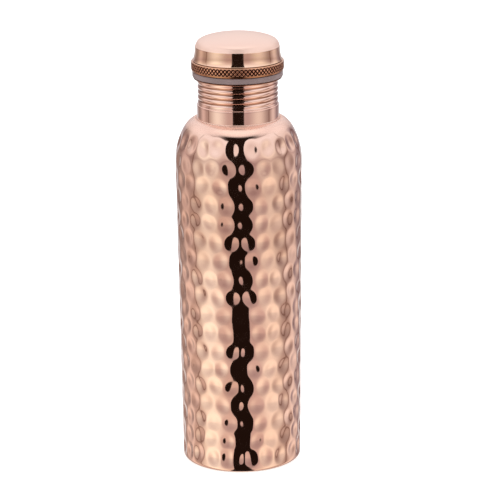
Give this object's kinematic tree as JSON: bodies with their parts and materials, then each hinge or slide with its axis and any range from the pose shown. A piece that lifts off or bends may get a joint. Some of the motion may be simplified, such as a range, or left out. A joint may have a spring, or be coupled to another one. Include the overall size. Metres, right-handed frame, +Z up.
{
  "type": "water bottle",
  "caption": "Slender hammered copper water bottle with a round shoulder, rolled screw neck, grey seal and a domed screw cap with a knurled grip.",
  "frame": {"origin": "middle of the foot ring, on the surface that the bottle stands on", "axes": "+Z up the bottle's axis, towards the cap; the bottle is round, so +X and +Y are two directions across it"},
  "size_m": [0.076, 0.076, 0.2641],
  "materials": {
    "hammered_copper": "polished copper, hammered all over, mirror bright in the dents",
    "polished_copper": "polished copper with faint turning marks",
    "knurled_copper": "knurled and slightly tarnished copper",
    "grey_silicone": "matt translucent grey silicone"
  },
  "bodies": {
    "bottle": {"body_shell": "hammered_copper", "base_disc": "hammered_copper", "threaded_neck": "polished_copper"},
    "seal": {"gasket": "grey_silicone"},
    "cap": {"knurled_flange": "knurled_copper", "cap_dome": "polished_copper", "threaded_plug": "polished_copper", "plug_end_disc": "polished_copper"}
  },
  "joints": [
    {"name": "cap_lift", "type": "slide", "parent": "bottle", "child": "seal", "axis": [0, 0, 1], "range_m": [0, 0.0187]},
    {"name": "cap_turn", "type": "hinge", "parent": "seal", "child": "cap", "pos_m": [0, 0, 0.25], "axis": [0, 0, 1], "range_deg": [0, 2160]}
  ],
  "couplings": [
    {"joint": "cap_lift", "follows": "cap_turn", "m_per_rad": 0.00049338}
  ]
}
